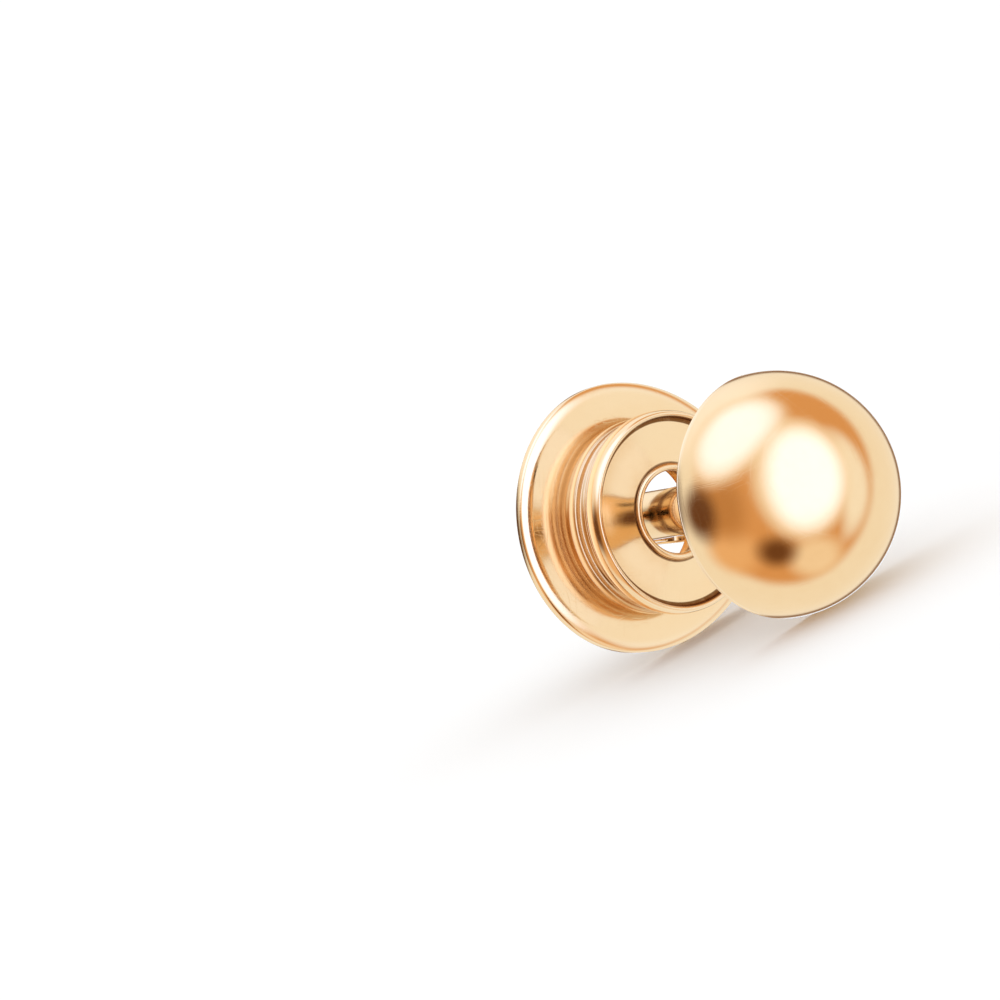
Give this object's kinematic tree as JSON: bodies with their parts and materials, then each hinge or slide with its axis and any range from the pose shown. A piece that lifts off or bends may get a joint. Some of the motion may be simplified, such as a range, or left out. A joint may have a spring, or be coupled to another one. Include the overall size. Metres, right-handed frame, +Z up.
{
  "type": "half-ball stud earring",
  "caption": "Polished gold half-ball stud earring on a round post, with an egg-shaped clutch that has a raised collar and rolled spring wings.",
  "frame": {"origin": "centre of the bounding box's underside, on the surface the earring lies on", "axes": "+Z up, +Y along the post from the half-ball to the clutch, level but for the small tilt at which it rests, half-ball towards -Y"},
  "size_m": [0.0062, 0.0102, 0.0056],
  "materials": {
    "stud_gold": "polished rose-tinted gold",
    "clutch_gold": "polished rose-tinted gold"
  },
  "bodies": {
    "stud": {"stud": "stud_gold"},
    "clutch": {"clutch": "clutch_gold"}
  },
  "joints": [
    {"name": "clutch_slide", "type": "slide", "parent": "stud", "child": "clutch", "axis": [0, 0.9993, 0.0368], "range_m": [-0.003, 0.0047]}
  ]
}
